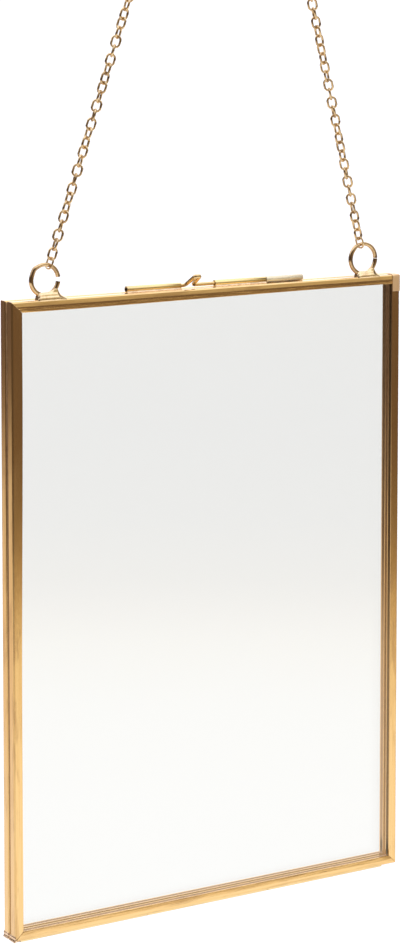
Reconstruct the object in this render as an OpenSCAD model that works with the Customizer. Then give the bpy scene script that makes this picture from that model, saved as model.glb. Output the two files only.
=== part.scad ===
// Hanging picture frame. Two leaves of brass channel, each round its own pane of glass,
// are hinged along the bottom and held shut by a slide bolt on top. The frame hangs from
// two open wire eyelets by one length of fine chain, whose top link goes on a wall pin.
// Width runs along X, depth along Y with the front towards -Y, and height along Z.
// The origin is the point where the wall pin bears in the top link.

/* [Glass] */
// Width of each pane
pane_w = 130; // [100:1:180]
// Height of each pane
pane_h = 180; // [120:1:240]
// Thickness of each pane
pane_t = 2; // [1.5:0.1:3]

/* [Channel] */
// Width of the channel's face
bar_w = 2.7; // [2.2:0.1:4]
// Thickness of the channel's brass
wall = 0.45; // [0.35:0.05:0.6]
// Play between a pane's face and the channel, on each side
face_play = 0.05; // [0.02:0.01:0.1]
// Play between a pane's edge and the channel's web
edge_play = 0.55; // [0.2:0.05:0.7]
// Rounding of the channel's outer edges
edge_r = 0.3; // [0.15:0.05:0.35]
// Rounding of the channel's lips, next to the glass
lip_r = 0.15; // [0.05:0.05:0.2]
// Gap between the two closed leaves
leaf_gap = 0.9; // [0.7:0.1:1.2]

/* [Corner solder] */
// Length of the cap soldered round the front leaf's top right corner
cap_len = 5; // [3:0.5:8]
// Thickness of that cap
cap_t = 0.15; // [0.1:0.05:0.25]
// Reach of the solder lump along each edge of a bottom left corner
lump_len = 2.4; // [1.5:0.1:4]
// How far a solder lump stands proud of the channel
lump_t = 0.35; // [0.2:0.05:0.5]

/* [Eyelets] */
// Outer diameter of the left wire eyelet
left_eyelet_d = 9.8; // [8:0.1:11]
// Outer diameter of the right wire eyelet
right_eyelet_d = 10.2; // [8:0.1:11]
// Thickness of the eyelets' wire
eyelet_wire = 1.2; // [0.9:0.05:1.3]
// Distance from the frame's left side to the middle of the left eyelet
left_eyelet_in = 11.3; // [8:0.1:20]
// Distance from the frame's right side to the middle of the right eyelet
right_eyelet_in = 12.6; // [8:0.1:20]
// Gap between the left eyelet and the frame's top, filled by its solder foot
left_eyelet_gap = 0.6; // [0.2:0.05:0.8]
// Gap between the right eyelet and the frame's top, filled by its solder foot
right_eyelet_gap = 0.2; // [0.2:0.05:0.8]
// Opening in the left eyelet's wire
left_split = 1.3; // [0.2:0.1:2]
// Opening in the right eyelet's wire
right_split = 0.15; // [0.1:0.05:2]
// Length of the solder foot under each eyelet
foot_len = 9.2; // [7:0.1:12]
// Height of the solder foot
foot_h = 1.9; // [1.6:0.1:2.5]
// How far the solder foot runs down the frame's face
foot_spill = 0.9; // [0.4:0.1:1.5]

/* [Chain] */
// Distance from one link to the next
pitch = 2.71; // [2.5:0.01:3]
// Thickness of a link's wire
link_wire = 0.6; // [0.5:0.05:0.65]
// Outer width of a link
link_w = 3.06; // [2.8:0.02:3.2]
// Links in the left leg
left_links = 69; // [60:1:90]
// Links in the right leg
right_links = 67; // [60:1:90]
// Play between one link and the next
link_play = 0.06; // [0.03:0.01:0.1]
// Play where the chain turns on an eyelet and on the top link
swing_play = 0.2; // [0.15:0.01:0.25]

/* [Bolt] */
// Outer diameter of the bolt's tubes
tube_d = 1.8; // [1.7:0.1:2.6]
// Thickness of the bolt's wire
bolt_wire = 1.05; // [0.9:0.05:1.3]
// Clearance of the bolt all round in its tubes
bolt_play = 0.06; // [0.03:0.01:0.1]
// Left end of the left guide tube, from the frame's middle
left_tube_x = -27.4; // [-32:0.1:-24]
// Length of the left guide tube
left_tube_len = 18; // [14:0.1:20]
// Distance between the two feet of the bolt's handle
handle_feet = 2.7; // [2.4:0.1:6]
// Width of the handle at its tip, between the wires' middles
handle_tip = 1.4; // [1.35:0.05:2.5]
// Length of the handle
handle_len = 5.6; // [5:0.1:10]
// Slope of the handle above level
handle_slope = 32; // [10:1:60]
// Sliding travel of the bolt
travel = 6.3; // [4:0.1:7]
// Length of the right guide tube
right_tube_len = 17.6; // [14:0.1:24]
// Length of the keeper tube
keeper_len = 12.8; // [8:0.1:16]
// Gap between the right guide tube and the keeper
keeper_gap = 0.15; // [0.1:0.05:0.3]
// How far the withdrawn bolt stays inside the right guide tube's end
bolt_short = 0.3; // [0.2:0.1:1]
// Gap between the left guide tube and the handle of the open bolt
open_gap = 1.15; // [0.2:0.05:2]
// Gap between the handle of the shut bolt and the right guide tube
shut_gap = 0.35; // [0.2:0.05:1]
// Length of the bolt inside the left guide tube
tail_len = 12; // [8:0.5:16]

/* [Hinge] */
// Outer diameter of the hinge's knuckles
knuckle_d = 1.9; // [1.7:0.1:2.4]
// Diameter of the hinge pin
pin_d = 1; // [0.8:0.05:1.1]
// Clearance of the pin all round in the knuckles
pin_play = 0.05; // [0.02:0.01:0.09]
// Gap between the hinge and the solder lump in the frame's corner
hinge_in = 0.6; // [0.3:0.1:10]
// Gap between one knuckle and the next
knuckle_gap = 0.2; // [0.1:0.05:0.4]
// Clearance between a tube and the leaf that it isn't soldered to
tube_clear = 0.12; // [0.1:0.01:0.2]
// Width of the solder strip beside each tube
strip_w = 0.8; // [0.7:0.1:1.4]
// Thickness of that strip
strip_t = 0.35; // [0.3:0.05:0.5]

/* [Hidden] */

// Overrun of every cut past the face that it opens
over = 0.5;
// Facets of small round pieces and of the spheres inside a hull
round_fn = 32;
lump_fn = 16;

// Leaf sizes
leaf_d = pane_t + 2 * face_play + 2 * wall;
outer_w = pane_w + 2 * edge_play + 2 * wall;
outer_h = pane_h + 2 * edge_play + 2 * wall;

// Link and eyelet sizes, to the middle of their wires
link_r = (link_w - link_wire) / 2;
link_half = (pitch + link_wire + link_play) / 2;
link_straight = link_half - link_r;
left_eyelet_r = (left_eyelet_d - eyelet_wire) / 2;
right_eyelet_r = (right_eyelet_d - eyelet_wire) / 2;

// Reach of a leg of so many links, from its eyelet's middle to its end of the top link
function reach(links, eyelet_r) =
    eyelet_r + links * pitch + link_play - (eyelet_wire + link_wire) / 2
    - 2 * swing_play + link_r;
left_reach = reach(left_links, left_eyelet_r);
right_reach = reach(right_links, right_eyelet_r);

// Places of the eyelets' middles along X and Z, from the middle of the frame's top
left_eyelet_at = [left_eyelet_in - outer_w / 2, left_eyelet_gap + left_eyelet_d / 2];
right_eyelet_at = [outer_w / 2 - right_eyelet_in, right_eyelet_gap + right_eyelet_d / 2];

// Place of the top link there: where two circles meet, one round each end of a base line
left_base = left_eyelet_at + [link_straight, 0];
right_base = right_eyelet_at - [link_straight, 0];
base = right_base - left_base;
base_len = norm(base);
apex_run = (pow(left_reach, 2) - pow(right_reach, 2) + pow(base_len, 2)) / (2 * base_len);
apex_rise = sqrt(pow(left_reach, 2) - pow(apex_run, 2));
apex = left_base + (apex_run * base + apex_rise * [-base[1], base[0]]) / base_len;
left_tilt = atan2(apex[0] - left_base[0], apex[1] - left_base[1]);
right_tilt = atan2(apex[0] - right_base[0], apex[1] - right_base[1]);

// The frame's faces, from the origin in the top link
pin_seat = link_r - link_wire / 2;
mid_x = -apex[0];
left_x = mid_x - outer_w / 2;
right_x = mid_x + outer_w / 2;
top_z = -pin_seat - apex[1];
bottom_z = top_z - outer_h;
front_y = -leaf_d / 2;
rear_y = front_y + leaf_d + leaf_gap;
part_y = front_y + leaf_d + leaf_gap / 2;

// How far a tube's middle stands off the leaves whose edges it lies between
function tube_lift(outer) = sqrt(pow(outer / 2 + tube_clear, 2) - pow(leaf_gap / 2, 2));
bolt_z = top_z + tube_lift(tube_d);
hinge_z = bottom_z - tube_lift(knuckle_d);
tube_bore = bolt_wire + 2 * bolt_play;
knuckle_bore = pin_d + 2 * pin_play;

// The bolt's places along X
left_foot_x = mid_x + left_tube_x + left_tube_len + open_gap + bolt_wire / 2;
right_foot_x = left_foot_x + handle_feet;
right_tube_x = right_foot_x + travel + shut_gap + bolt_wire / 2;
keeper_x = right_tube_x + right_tube_len + keeper_gap;
bolt_end_x = right_tube_x + right_tube_len - bolt_short;

// The hinge's places along X
hinge_start = lump_len + lump_t + hinge_in;
hinge_len = outer_w - 2 * hinge_start;
knuckle_len = (hinge_len - 2 * knuckle_gap) / 3;
knuckle_step = knuckle_len + knuckle_gap;

// First link's turn about the leg, and the turn from each link to the next
left_first_turn = 13;
left_half_turns = 29;
left_turn = (left_half_turns * 180 - left_first_turn) / (left_links - 1);
right_first_turn = 20;
right_half_turns = 30;
right_turn = (right_half_turns * 180 - right_first_turn) / (right_links - 1);

// Solder foot: places along the foot, across the leaf and up, and the size of the lump there
foot_shares = [
    [-0.5, 0, 0.05, 0.16],
    [-0.2, 0, 0.5, 0.3],
    [0.18, 0, 0.55, 0.3],
    [0.5, 0, 0.05, 0.16],
    [-0.22, -0.45, 0.1, 0.2],
    [0.26, -0.45, 0.1, 0.2],
];
// Solder that has run over the edge, along the foot and down the face
spill_shares = [-0.26, 0.3];
spill_r = 0.3;
// Size of the ball in each bend of the bolt, as a share of its wire
bend_share = 1.06;

brass = "#c99a5b";
pale_brass = "#dcc08a";
dark_brass = "#a87f45";
clear_glass = [0.85, 0.9, 0.9, 0.35];

// What is cut away to round a corner whose material lies towards +X and +Y
module corner_waste(r) {
    difference() {
        translate([-over, -over]) square(r + over);
        translate([r, r]) circle(r, $fn = round_fn);
    }
}

// Section of the channel: its web at X = 0, its mouth towards +X, its depth along Y
module channel_profile() {
    difference() {
        square([bar_w, leaf_d]);
        translate([wall, wall]) square([bar_w, leaf_d - 2 * wall]);
        corner_waste(edge_r);
        translate([0, leaf_d]) rotate(-90) corner_waste(edge_r);
        translate([bar_w, 0]) rotate(90) corner_waste(lip_r);
        translate([bar_w, leaf_d]) rotate(180) corner_waste(lip_r);
    }
}

// A length of channel along X with both ends mitred, its mouth towards +Z
module channel_bar(len) {
    color(brass) intersection() {
        translate([len, 0, 0]) rotate([0, -90, 0]) linear_extrude(len) channel_profile();
        translate([0, leaf_d + over, 0]) rotate([90, 0, 0]) linear_extrude(leaf_d + 2 * over)
            polygon([[0, 0], [len, 0], [len - bar_w, bar_w], [bar_w, bar_w]]);
    }
}

// The four bars of a leaf whose front face is at y
module left_bar(y) { translate([left_x, y, top_z]) rotate([0, 90, 0]) channel_bar(outer_h); }
module right_bar(y) { translate([right_x, y, bottom_z]) rotate([0, -90, 0]) channel_bar(outer_h); }
module top_bar(y) { translate([right_x, y, top_z]) rotate([0, 180, 0]) channel_bar(outer_w); }
module bottom_bar(y) { translate([left_x, y, bottom_z]) channel_bar(outer_w); }

module front_left_channel() { left_bar(front_y); }
module front_right_channel() { right_bar(front_y); }
module front_top_channel() { top_bar(front_y); }
module front_bottom_channel() { bottom_bar(front_y); }
module rear_left_channel() { left_bar(rear_y); }
module rear_right_channel() { right_bar(rear_y); }
module rear_top_channel() { top_bar(rear_y); }
module rear_bottom_channel() { bottom_bar(rear_y); }

// A pane in the leaf whose front face is at y
module pane(y) {
    color(clear_glass)
        translate([mid_x - pane_w / 2, y + wall + face_play, bottom_z + wall + edge_play])
            cube([pane_w, pane_t, pane_h]);
}
module front_glass() { pane(front_y); }
module rear_glass() { pane(rear_y); }

// The outer block of the leaf whose front face is at y
module leaf_block(y) {
    translate([left_x, y, bottom_z]) cube([outer_w, leaf_d, outer_h]);
}

// Solder run round the bottom left corner of the leaf whose front face is at y, and past
// its back by the given reach
module corner_lump(y, reach_back) {
    color(pale_brass) difference() {
        translate([left_x, y, bottom_z]) hull() {
            for (depth = [lump_t, leaf_d + reach_back - lump_t]) translate([0, depth, 0]) {
                sphere(lump_t, $fn = lump_fn);
                translate([lump_len, 0, 0]) sphere(lump_t / 2, $fn = lump_fn);
                translate([0, 0, lump_len]) sphere(lump_t / 2, $fn = lump_fn);
            }
        }
        leaf_block(y);
    }
}

// Cap folded round the top right corner: over the face, the side and the top
module corner_cap() {
    color(pale_brass) difference() {
        translate([right_x - bar_w, front_y - cap_t, top_z - cap_len])
            cube([bar_w + cap_t, leaf_d + cap_t - edge_r, cap_len + cap_t]);
        leaf_block(front_y);
    }
}

module front_corner_solder() {
    corner_lump(front_y, leaf_gap - tube_clear);
    corner_cap();
}
module rear_corner_solder() { corner_lump(rear_y, 0); }

// An open wire eyelet round its own middle, its opening towards +X
module eyelet_ring(r, split) {
    split_angle = 2 * asin(split / 2 / r);
    rotate([90, 0, 0]) rotate(split_angle / 2)
        rotate_extrude(angle = 360 - split_angle, $fn = 2 * round_fn)
            translate([r, 0]) circle(d = eyelet_wire, $fn = round_fn);
}

module eyelet(at, r, split) {
    color(dark_brass) translate([mid_x + at[0], 0, top_z + at[1]]) eyelet_ring(r, split);
}
module left_eyelet() { eyelet(left_eyelet_at, left_eyelet_r, left_split); }
module right_eyelet() { eyelet(right_eyelet_at, right_eyelet_r, right_split); }

// The solder foot that carries an eyelet, with the solder that has run down the face
module eyelet_foot(at, r, split) {
    color(pale_brass) difference() {
        translate([mid_x + at[0], 0, top_z]) hull() {
            for (s = foot_shares)
                translate([s[0] * (foot_len - 2 * s[3] * foot_h), s[1] * leaf_d, s[2] * foot_h])
                    sphere(s[3] * foot_h, $fn = lump_fn);
            for (s = spill_shares)
                translate([s * foot_len, -leaf_d / 2, spill_r - foot_spill])
                    sphere(spill_r, $fn = lump_fn);
        }
        leaf_block(front_y);
        translate([mid_x + at[0], 0, top_z + at[1]]) eyelet_ring(r, split);
    }
}
module left_eyelet_solder() { eyelet_foot(left_eyelet_at, left_eyelet_r, left_split); }
module right_eyelet_solder() { eyelet_foot(right_eyelet_at, right_eyelet_r, right_split); }

// A tube along X round its own middle, with the strip that joins it to a leaf below.
// The leaf lies towards -Y where side is -1, and towards +Y where it is 1.
module soldered_tube(len, outer, bore, side) {
    strip_y = side > 0 ? leaf_gap / 2 : -leaf_gap / 2 - strip_w;
    color(brass) difference() {
        union() {
            rotate([0, 90, 0]) cylinder(h = len, d = outer, $fn = round_fn);
            translate([0, strip_y, -tube_lift(outer)]) cube([len, strip_w, strip_t]);
        }
        translate([-over, 0, 0]) rotate([0, 90, 0])
            cylinder(h = len + 2 * over, d = bore, $fn = round_fn);
    }
}

module left_guide_tube() {
    translate([mid_x + left_tube_x, part_y, bolt_z])
        soldered_tube(left_tube_len, tube_d, tube_bore, -1);
}
module right_guide_tube() {
    translate([right_tube_x, part_y, bolt_z])
        soldered_tube(right_tube_len, tube_d, tube_bore, -1);
}
module keeper_tube() {
    translate([keeper_x, part_y, bolt_z])
        soldered_tube(keeper_len, tube_d, tube_bore, 1);
}

// A round bar from one point to another
module bar_between(a, b, d) {
    v = b - a;
    translate(a) rotate([0, acos(v[2] / norm(v)), atan2(v[1], v[0])])
        cylinder(h = norm(v), d = d, $fn = round_fn);
}

// A bend in the bolt's wire: a bar up to it, a ball in it and a bar on from it
module bent_wire(from, corner, to) {
    union() {
        union() {
            bar_between(from, corner, bolt_wire);
            translate(corner) sphere(d = bend_share * bolt_wire, $fn = round_fn);
        }
        bar_between(corner, to, bolt_wire);
    }
}

// The bolt: one wire, run straight in its tubes and bent into a hairpin handle between them
module slide_bolt() {
    foot = [handle_feet / 2, 0, 0];
    tip_side = [handle_tip / 2, 0, 0];
    tip = [0, -handle_len * cos(handle_slope), handle_len * sin(handle_slope)];
    color(brass) translate([left_foot_x + handle_feet / 2, part_y, bolt_z]) union() {
        bent_wire(-foot - [tail_len, 0, 0], -foot, tip - tip_side);
        bent_wire(foot + [bolt_end_x - right_foot_x, 0, 0], foot, tip + tip_side);
        union() {
            bar_between(tip - tip_side, tip + tip_side, bolt_wire);
            for (side = [-1, 1]) translate(tip + side * tip_side)
                sphere(d = bend_share * bolt_wire, $fn = round_fn);
        }
    }
}

// A knuckle under the leaf on the given side, at its own step along the hinge
module knuckle(step, side) {
    translate([left_x + hinge_start + step * knuckle_step, part_y, hinge_z]) rotate([180, 0, 0])
        soldered_tube(knuckle_len, knuckle_d, knuckle_bore, -side);
}
module front_hinge_knuckles() {
    knuckle(0, -1);
    knuckle(2, -1);
}
module rear_hinge_knuckle() { knuckle(1, 1); }
module hinge_pin() {
    color(dark_brass) translate([left_x + hinge_start, part_y, hinge_z]) rotate([0, 90, 0])
        cylinder(h = hinge_len, d = pin_d, $fn = round_fn);
}

// Half of a link's bend, lying in the XY plane and opening towards -Y
module link_bend() {
    rotate_extrude(angle = 180, $fn = round_fn)
        translate([link_r, 0]) circle(d = link_wire, $fn = round_fn);
}

// One chain link round its own middle, lying in the YZ plane with its length along Z
module link() {
    rotate([90, 0, 90]) union() {
        translate([0, link_straight, 0]) link_bend();
        rotate(180) translate([0, link_straight, 0]) link_bend();
        for (side = [-1, 1]) translate([side * link_r, link_straight, 0]) rotate([90, 0, 0])
            cylinder(h = 2 * link_straight, d = link_wire, $fn = round_fn);
    }
}

// A leg of chain, from its eyelet up to the top link
module chain_leg(at, eyelet_r, tilt, links, first_turn, turn) {
    first = eyelet_r - (eyelet_wire + link_wire) / 2 - swing_play + link_half;
    color(brass) translate([mid_x + at[0], 0, top_z + at[1]])
        rotate([0, tilt, 0])
            for (i = [0 : links - 1])
                translate([0, 0, first + i * pitch]) rotate(first_turn + i * turn) link();
}
module left_chain() {
    chain_leg(left_eyelet_at, left_eyelet_r, left_tilt, left_links, left_first_turn, left_turn);
}
module right_chain() {
    chain_leg(right_eyelet_at, right_eyelet_r, right_tilt, right_links, right_first_turn, right_turn);
}

// The link at the top, lying level with the wall pin through it
module hanging_link() {
    color(brass) translate([0, 0, -pin_seat]) rotate([0, 90, 0]) rotate(90) link();
}

front_left_channel();
front_right_channel();
front_top_channel();
front_bottom_channel();
front_glass();
front_corner_solder();
rear_left_channel();
rear_right_channel();
rear_top_channel();
rear_bottom_channel();
rear_glass();
rear_corner_solder();
left_eyelet();
right_eyelet();
left_eyelet_solder();
right_eyelet_solder();
left_guide_tube();
right_guide_tube();
keeper_tube();
slide_bolt();
front_hinge_knuckles();
rear_hinge_knuckle();
hinge_pin();
left_chain();
right_chain();
hanging_link();
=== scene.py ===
# %% [markdown]
# # A hanging picture frame in brass and glass
# Two leaves of thin brass channel hold two panes of glass. A slide bolt shuts them, and a
# fine chain carries them from a wall pin. The real parts and their sizes come from the
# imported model; this script dresses them. Everything is in metres, with the origin where
# the wall pin bears in the top link of the chain.

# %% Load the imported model
import math
import bmesh
import bpy
from mathutils import Matrix, Vector, noise


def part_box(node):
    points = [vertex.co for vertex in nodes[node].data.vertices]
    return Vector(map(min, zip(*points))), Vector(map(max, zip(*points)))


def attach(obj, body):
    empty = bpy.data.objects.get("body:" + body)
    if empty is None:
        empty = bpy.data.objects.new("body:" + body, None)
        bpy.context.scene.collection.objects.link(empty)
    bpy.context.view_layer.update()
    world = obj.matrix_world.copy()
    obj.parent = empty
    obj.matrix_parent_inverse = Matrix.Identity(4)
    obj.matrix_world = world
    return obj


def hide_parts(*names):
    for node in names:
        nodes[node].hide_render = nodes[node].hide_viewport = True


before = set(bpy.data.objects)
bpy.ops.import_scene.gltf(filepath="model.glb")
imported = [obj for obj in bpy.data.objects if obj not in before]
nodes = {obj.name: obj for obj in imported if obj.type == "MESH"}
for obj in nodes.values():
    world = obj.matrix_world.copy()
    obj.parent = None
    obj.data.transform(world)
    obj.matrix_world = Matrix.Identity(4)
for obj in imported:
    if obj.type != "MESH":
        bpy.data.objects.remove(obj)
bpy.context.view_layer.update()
mm = 0.001


def in_mm(box):
    """The corners of a box in millimetres, for printing."""
    return [[round(c / mm, 1) for c in corner] for corner in box]


# %% [markdown]
# The camera is placed first, so that every later step can be compared with the photo.
# The photo was taken from the left and a little above the middle, and only its lower part
# was kept: the lens looks 5 degrees down, and the picture is shifted down from its axis.
# A camera that looks further down would need no shift, but the upright bars would then
# lean together more than they do in the photo.

# %% Camera
STANDPOINT = Vector((-416.1, -668.6, 275.5)) * mm
LOOKS_DOWN, LOOKS_RIGHT = 5.188, 31.6
leaf_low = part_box("front_left_channel")[0]
leaf_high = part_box("front_right_channel")[1]
leaf_middle = Vector(((leaf_low.x + leaf_high.x) / 2, leaf_low.y, leaf_low.z))
camera_data = bpy.data.cameras.new("camera")
camera_data.sensor_width = 36
camera_data.lens = 104.64
camera_data.shift_y = -0.2754
camera_data.clip_start = 10 * mm
camera_data.clip_end = 100
camera = bpy.data.objects.new("camera", camera_data)
camera.location = leaf_middle + STANDPOINT
camera.rotation_euler = (math.radians(90 - LOOKS_DOWN), 0, math.radians(-LOOKS_RIGHT))
bpy.context.scene.collection.objects.link(camera)
bpy.context.scene.camera = camera
bpy.context.scene.view_settings.view_transform = "Standard"
print("camera, mm:", in_mm([camera.location])[0])

# %% [markdown]
# Shaders are built from nodes. They could be laid out by hand in the editor, but a script
# says every value and gives the same trees each run. A few short helpers keep that readable:
# one adds a node with its settings and inputs, and the others are the kinds used most.

# %% Helpers for node trees
def feed(tree, node, inputs):
    """Sets a node's inputs, or links them where the value is a socket, by name or number."""
    for key, value in dict(inputs).items():
        if isinstance(value, bpy.types.NodeSocket):
            tree.links.new(value, node.inputs[key])
        else:
            node.inputs[key].default_value = value


def add(tree, kind, inputs=(), **settings):
    """A new node of a kind, with its settings and its inputs."""
    node = tree.nodes.new(kind)
    for name, value in settings.items():
        setattr(node, name, value)
    feed(tree, node, inputs)
    return node


def ramp(tree, factor, stops):
    """A colour ramp through (position, colour) stops; a plain number is a grey."""
    node = add(tree, "ShaderNodeValToRGB", {0: factor})
    elements = node.color_ramp.elements
    while len(elements) < len(stops):
        elements.new(0.5)
    for element, (position, colour) in zip(elements, stops):
        element.position = position
        element.color = (*colour, 1) if isinstance(colour, tuple) else (colour, colour, colour, 1)
    return node.outputs["Color"]


def share_of(tree, value, low, high, smooth=True):
    """0 where a value is at low or less, 1 where it is at high or more."""
    kind = "SMOOTHSTEP" if smooth else "LINEAR"
    limits = {0: value, 1: low, 2: high}
    return add(tree, "ShaderNodeMapRange", limits, interpolation_type=kind).outputs[0]


def blend(tree, share, first, second):
    """From the first colour to the second, by a share."""
    return add(tree, "ShaderNodeMix", {0: share, 6: first, 7: second}, data_type="RGBA").outputs[2]


def maths(tree, operation, *values):
    """The outcome of one Math node on numbers or sockets."""
    return add(tree, "ShaderNodeMath", dict(enumerate(values)), operation=operation).outputs[0]


def new_material(name):
    """A material, its node tree and its shader."""
    made = bpy.data.materials.new(name)
    made.use_nodes = True
    return made, made.node_tree, made.node_tree.nodes["Principled BSDF"]

# %% [markdown]
# Brass has almost no colour of its own but its reflections, so the studio is built for
# them. To the eye the background is white, also through the glass. What metal and glass
# mirror is something else: a pale ceiling, a brown room that is dim just below the horizon,
# and a pale floor that begins 9 to 12 degrees below it. The room differs by direction: AHEAD
# is what the faces of the bars mirror, ASIDE is the rest of what stands before the frame, and
# the other two are behind it. Cards and lamps would do it too. A graded sky does the same
# with fewer parts, and its light is soft everywhere.

# %% What is mirrored, by degrees above the horizon
LOWEST, HIGHEST = -20, 60
FLOOR_GLOW, CEILING = (1.0, 0.96, 0.92), (1.35, 1.35, 1.45)
AHEAD = [(-20, (1.12, 1.08, 1.05)), (-17.5, (1.12, 1.06, 1.0)), (-15.4, (1.05, 0.98, 0.87)),
         (-14.2, (0.92, 0.8, 0.6)), (-13.5, (0.68, 0.54, 0.37)), (-12.9, (0.42, 0.31, 0.18)),
         (-11.6, (0.22, 0.16, 0.10)), (-9.8, (0.15, 0.10, 0.07)), (-7, (0.15, 0.10, 0.07)),
         (-3, (0.3, 0.24, 0.17)), (2, (0.6, 0.52, 0.38)), (8, (0.46, 0.4, 0.27)),
         (24, (0.75, 0.7, 0.56)), (40, CEILING)]
BACK_LEFT = [(-20, (1.05, 1.0, 1.05)), (-17.5, (1.0, 0.95, 1.0)), (-15.4, (0.9, 0.78, 0.71)),
             (-13.3, (0.84, 0.71, 0.61)), (-11.2, (0.74, 0.64, 0.56)), (-10.2, (0.5, 0.42, 0.36)),
             (-9.1, (0.23, 0.17, 0.13)), (-8.1, (0.145, 0.105, 0.1)), (12, (0.12, 0.09, 0.07)),
             (30, CEILING)]
BACK_RIGHT = [(-20, FLOOR_GLOW), (-12, (0.74, 0.65, 0.54)), (-9, (0.2, 0.16, 0.12)),
              (-2, (0.2, 0.16, 0.12)), (3, CEILING)]
ASIDE = [(-20, FLOOR_GLOW), (-15, (0.8, 0.72, 0.6)), (-12, (0.10, 0.07, 0.05)),
         (34, (0.10, 0.07, 0.05)), (55, CEILING)]

# %% Studio light
FRONT_MIRRORS = (0.524, -0.852, 0)
AHEAD_FROM, RIGHT_FROM, BEHIND_FROM = (0.85, 0.95), (0.1, 0.4), (-0.1, 0.15)
world = bpy.data.worlds.new("studio")
bpy.context.scene.world = world
world.use_nodes = True
sky = world.node_tree
sky.nodes.clear()
looking = add(sky, "ShaderNodeTexCoord").outputs["Generated"]
part = add(sky, "ShaderNodeSeparateXYZ", {0: looking}).outputs
rise = maths(sky, "ARCSINE", part["Z"])
rise = share_of(sky, rise, math.radians(LOWEST), math.radians(HIGHEST), smooth=False)
ahead, back_left, back_right, aside = [
    ramp(sky, rise, [((angle - LOWEST) / (HIGHEST - LOWEST), colour) for angle, colour in stops])
    for stops in (AHEAD, BACK_LEFT, BACK_RIGHT, ASIDE)]
level = add(sky, "ShaderNodeVectorMath", {0: looking, 1: (1, 1, 0)}, operation="MULTIPLY").outputs[0]
level = add(sky, "ShaderNodeVectorMath", {0: level}, operation="NORMALIZE").outputs[0]
mirrored = add(sky, "ShaderNodeVectorMath", {0: level, 1: FRONT_MIRRORS}, operation="DOT_PRODUCT")
front_room = blend(sky, share_of(sky, mirrored.outputs["Value"], *AHEAD_FROM), aside, ahead)
back_room = blend(sky, share_of(sky, part["X"], *RIGHT_FROM), back_left, back_right)
room = blend(sky, share_of(sky, part["Y"], *BEHIND_FROM), front_room, back_room)
paths = add(sky, "ShaderNodeLightPath").outputs
turns = maths(sky, "ADD", paths["Glossy Depth"], paths["Diffuse Depth"])
unturned = maths(sky, "LESS_THAN", turns, 0.5)
light = add(sky, "ShaderNodeBackground", {0: blend(sky, unturned, room, (1, 1, 1, 1)), 1: 1})
add(sky, "ShaderNodeOutputWorld", {0: light.outputs[0]})
print("sky of", len(sky.nodes), "nodes")

# %% [markdown]
# The frame hangs, so the floor is only a pale sheet, lower than the open rear leaf reaches.
# A backdrop that curves up would hide the horizon, but it would also stand behind the glass.
# The sheet glows a little instead. The metal doesn't mirror it, because what the metal
# mirrors is in the sky.

# %% Floor
FLOOR_DROP = 200 * mm
FLOOR_SIDE = 60
PAPER_GRAIN, PAPER_GREYS, PAPER_GLOW = 60, [(0, 0.89), (1, 0.92)], 0.15
paper, tree, shader = new_material("floor_paper")
grain = add(tree, "ShaderNodeTexNoise", {"Scale": PAPER_GRAIN, "Detail": 4}).outputs[0]
feed(tree, shader, {"Base Color": ramp(tree, grain, PAPER_GREYS), "Roughness": 1,
                    "Specular IOR Level": 0, "Emission Color": (1, 1, 1, 1),
                    "Emission Strength": PAPER_GLOW})
bm = bmesh.new()
bmesh.ops.create_grid(bm, x_segments=4, y_segments=4, size=FLOOR_SIDE / 2,
                      matrix=Matrix.Translation((0, 0, leaf_low.z - FLOOR_DROP)))
floor_mesh = bpy.data.meshes.new("floor")
bm.to_mesh(floor_mesh)
bm.free()
floor_mesh.materials.append(paper)
floor = bpy.data.objects.new("floor", floor_mesh)
bpy.context.scene.collection.objects.link(floor)
floor.visible_glossy = False
floor.visible_transmission = False
print("floor, mm below the frame:", round(FLOOR_DROP / mm))

# %% [markdown]
# All the metal is one family: rolled or drawn brass that was polished, then handled. One
# node group gives its colour, its roughness and its relief, and each material places the
# group with its own values. The streaks come from noise that is stretched along the metal,
# and the tarnish from broader noise. Painted images could carry both, but every piece would
# have to be unwrapped for them, and noise needs only a place on the object.

# %% Brass group
def new_group(name, inputs, outputs):
    """An empty shader group with named sockets."""
    group = bpy.data.node_groups.new(name, "ShaderNodeTree")
    kinds = {"colour": "NodeSocketColor", "value": "NodeSocketFloat", "vector": "NodeSocketVector"}
    for way, sockets in (("INPUT", inputs), ("OUTPUT", outputs)):
        for label, kind in sockets:
            group.interface.new_socket(name=label, in_out=way, socket_type=kinds[kind])
    return group, group.nodes.new("NodeGroupInput").outputs, group.nodes.new("NodeGroupOutput").inputs


brass, given, result = new_group(
    "worked_brass",
    [("Grain", "vector"), ("Place", "vector"), ("Brass", "colour"), ("Streak", "colour"),
     ("Tarnish", "colour"), ("Streak amount", "value"), ("Tarnish amount", "value"),
     ("Tarnish scale", "value"), ("Roughness", "value")],
    [("Colour", "colour"), ("Roughness", "value"), ("Height", "value")])
STREAKS_FROM, TARNISH_FROM = (0.42, 0.68), (0.47, 0.66)
TARNISH_ROUGHER, STREAKS_ROUGHER, TARNISH_RELIEF = 0.15, 0.05, 2.5
fine = add(brass, "ShaderNodeTexNoise",
           {0: given["Grain"], "Scale": 1, "Detail": 4, "Roughness": 0.6}).outputs[0]
blotch = add(brass, "ShaderNodeTexNoise", {0: given["Place"], "Scale": given["Tarnish scale"],
                                           "Detail": 5, "Roughness": 0.62}).outputs[0]
streaks = share_of(brass, fine, *STREAKS_FROM, smooth=False)
streaks = maths(brass, "MULTIPLY", streaks, given["Streak amount"])
stains = share_of(brass, blotch, *TARNISH_FROM)
stains = maths(brass, "MULTIPLY", stains, given["Tarnish amount"])
streaked = blend(brass, streaks, given["Brass"], given["Streak"])
stained = blend(brass, stains, streaked, given["Tarnish"])
rougher = maths(brass, "MULTIPLY_ADD", stains, TARNISH_ROUGHER, given["Roughness"])
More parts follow.
